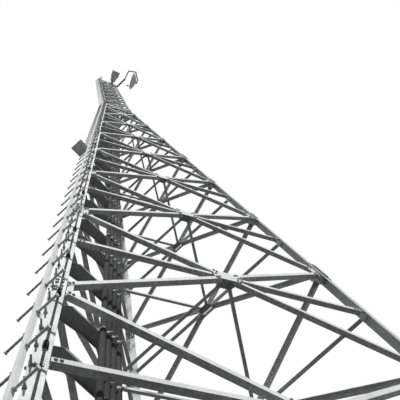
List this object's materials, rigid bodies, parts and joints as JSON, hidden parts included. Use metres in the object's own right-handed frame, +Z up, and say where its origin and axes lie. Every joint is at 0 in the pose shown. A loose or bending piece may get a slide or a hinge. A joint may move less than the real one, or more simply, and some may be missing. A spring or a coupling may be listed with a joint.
{
  "type": "self-supporting radio tower",
  "caption": "Tapering three-legged lattice radio tower in galvanised angle steel, with a climbing rail, cable run, drum and dish antennas.",
  "frame": {"origin": "centre of the left leg's base plate, on its underside, at ground level", "axes": "+Z up; +X from the left leg to the right leg along the front face; +Y toward the rear leg"},
  "size_m": [5.3229, 4.6098, 38.4715],
  "materials": {
    "galvanised_legs": "matte",
    "galvanised_bracing": "matte",
    "galvanised_fittings": "matte",
    "black_cable": "matte",
    "grey_antenna_paint": "satin",
    "white_antenna_cover": "matte"
  },
  "bodies": {
    "root": {"left_foot": "galvanised_legs", "right_foot": "galvanised_legs", "rear_foot": "galvanised_legs", "left_leg_lower": "galvanised_legs", "left_leg_middle": "galvanised_legs", "left_leg_upper": "galvanised_legs", "left_leg_mast": "galvanised_legs", "right_leg_lower": "galvanised_legs", "right_leg_middle": "galvanised_legs", "right_leg_upper": "galvanised_legs", "right_leg_mast": "galvanised_legs", "rear_leg_lower": "galvanised_legs", "rear_leg_middle": "galvanised_legs", "rear_leg_upper": "galvanised_legs", "rear_leg_mast": "galvanised_legs", "lower_splices": "galvanised_fittings", "middle_splices": "galvanised_fittings", "front_face_lower": "galvanised_bracing", "front_face_middle": "galvanised_bracing", "front_face_upper": "galvanised_bracing", "front_face_mast": "galvanised_bracing", "right_face_lower": "galvanised_bracing", "right_face_middle": "galvanised_bracing", "right_face_upper": "galvanised_bracing", "right_face_mast": "galvanised_bracing", "left_face_lower": "galvanised_bracing", "left_face_middle": "galvanised_bracing", "left_face_upper": "galvanised_bracing", "left_face_mast": "galvanised_bracing", "plan_ties_lower": "galvanised_bracing", "plan_ties_middle": "galvanised_bracing", "plan_ties_upper": "galvanised_bracing", "waist_ring": "galvanised_bracing", "climbing_rail_lower": "galvanised_fittings", "climbing_rail_middle": "galvanised_fittings", "climbing_rail_upper": "galvanised_fittings", "climbing_rail_mast": "galvanised_fittings", "rest_platform": "galvanised_fittings", "cable_brackets": "galvanised_fittings", "cable_brackets_mast": "galvanised_fittings", "feeder_cables": "black_cable", "feeder_cables_mast": "black_cable", "drum_antenna": "grey_antenna_paint", "drum_cover": "white_antenna_cover", "drum_mount": "galvanised_fittings", "dish_antenna": "grey_antenna_paint", "dish_feed": "galvanised_fittings", "dish_mount": "galvanised_fittings"}
  },
  "joints": []
}
